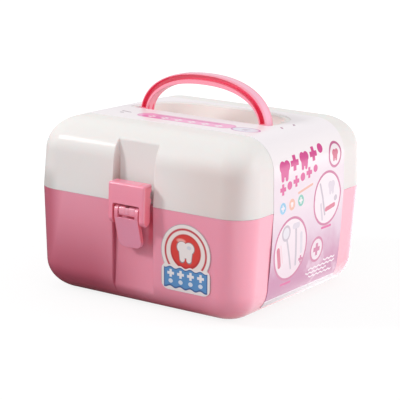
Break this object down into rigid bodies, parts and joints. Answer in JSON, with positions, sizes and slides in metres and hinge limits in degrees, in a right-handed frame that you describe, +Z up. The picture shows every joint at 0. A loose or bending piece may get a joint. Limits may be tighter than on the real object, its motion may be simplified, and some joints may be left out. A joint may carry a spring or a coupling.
{
  "type": "toy dentist kit",
  "caption": "Moulded two-part carry case with a hinged lid, folding bail handle, draw latch and card sleeve, holding toy dental instruments.",
  "frame": {"origin": "middle of the case's flat underside, on the surface it stands on", "axes": "+Z up, the latch faces -Y, the hinges are at +Y, the bail handle spans X"},
  "size_m": [0.2218, 0.234, 0.1918],
  "materials": {
    "base_pink": "glossy moulded polypropylene",
    "lid_ivory": "glossy moulded polypropylene",
    "latch_pink": "glossy moulded plastic",
    "handle_pink": "glossy moulded plastic",
    "pin_steel": "plain wire",
    "sleeve_card": "laminated printed card",
    "sticker_paper": "gloss film sticker",
    "gum_red": "glossy moulded plastic",
    "tooth_white": "glossy moulded plastic",
    "syringe_clear": "translucent polypropylene",
    "toy_pink": "moulded plastic",
    "toy_blue": "moulded plastic",
    "toy_grey": "moulded plastic",
    "seal_rubber": "soft rubber",
    "mirror_silver": "metallised film"
  },
  "bodies": {
    "base": {"base_tub": "base_pink", "hinge_pin_left": "pin_steel", "hinge_pin_right": "pin_steel", "lever_pin": "pin_steel", "front_sticker": "sticker_paper", "lower_gum": "gum_red", "lower_teeth": "tooth_white", "jaw_axle": "pin_steel", "syringe_barrel": "syringe_clear", "toothbrush": "toy_blue", "brush_tufts": "tooth_white", "mirror_handle": "toy_grey", "mirror_disc": "mirror_silver", "probe": "toy_grey", "forceps_lower_half": "toy_grey", "forceps_rivet": "pin_steel"},
    "lid": {"lid": "lid_ivory"},
    "handle": {"carry_handle": "handle_pink"},
    "lever": {"latch_lever": "latch_pink"},
    "link": {"latch_link": "latch_pink"},
    "sleeve": {"card_sleeve": "sleeve_card", "sleeve_flap_left": "sleeve_card", "sleeve_flap_right": "sleeve_card"},
    "upper_jaw": {"upper_gum": "gum_red", "upper_teeth": "tooth_white"},
    "plunger": {"syringe_plunger": "toy_pink", "plunger_seal": "seal_rubber"},
    "forceps_half": {"forceps_upper_half": "toy_grey"}
  },
  "joints": [
    {"name": "lid_open", "type": "hinge", "parent": "base", "child": "lid", "pos_m": [0, 0.11155, 0.0922], "axis": [-1, 0, 0], "range_deg": [0, 105]},
    {"name": "handle_fold", "type": "hinge", "parent": "lid", "child": "handle", "pos_m": [0, 0, 0.1471], "axis": [-1, 0, 0], "range_deg": [0, 90]},
    {"name": "latch_open", "type": "hinge", "parent": "base", "child": "lever", "pos_m": [0, -0.1128, 0.0868], "axis": [-1, 0, 0], "range_deg": [0, 110]},
    {"name": "link_swing", "type": "hinge", "parent": "lever", "child": "link", "pos_m": [0, -0.112, 0.0806], "axis": [1, 0, 0], "range_deg": [0, 125]},
    {"name": "sleeve_lift", "type": "slide", "parent": "lid", "child": "sleeve", "axis": [0, 0, 1], "range_m": [0, 0.2]},
    {"name": "jaw_open", "type": "hinge", "parent": "base", "child": "upper_jaw", "pos_m": [-0.0315, 0.043, 0.02385], "axis": [-1, 0, 0], "range_deg": [0, 50]},
    {"name": "plunger_push", "type": "slide", "parent": "base", "child": "plunger", "axis": [-1, 0, 0], "range_m": [0, 0.026]},
    {"name": "forceps_close", "type": "hinge", "parent": "base", "child": "forceps_half", "pos_m": [0.036, 0.034, 0.0092], "axis": [0, 0, -1], "range_deg": [0, 18]}
  ],
  "couplings": [
    {"joint": "link_swing", "follows": "latch_open", "ratio": 1.1}
  ]
}
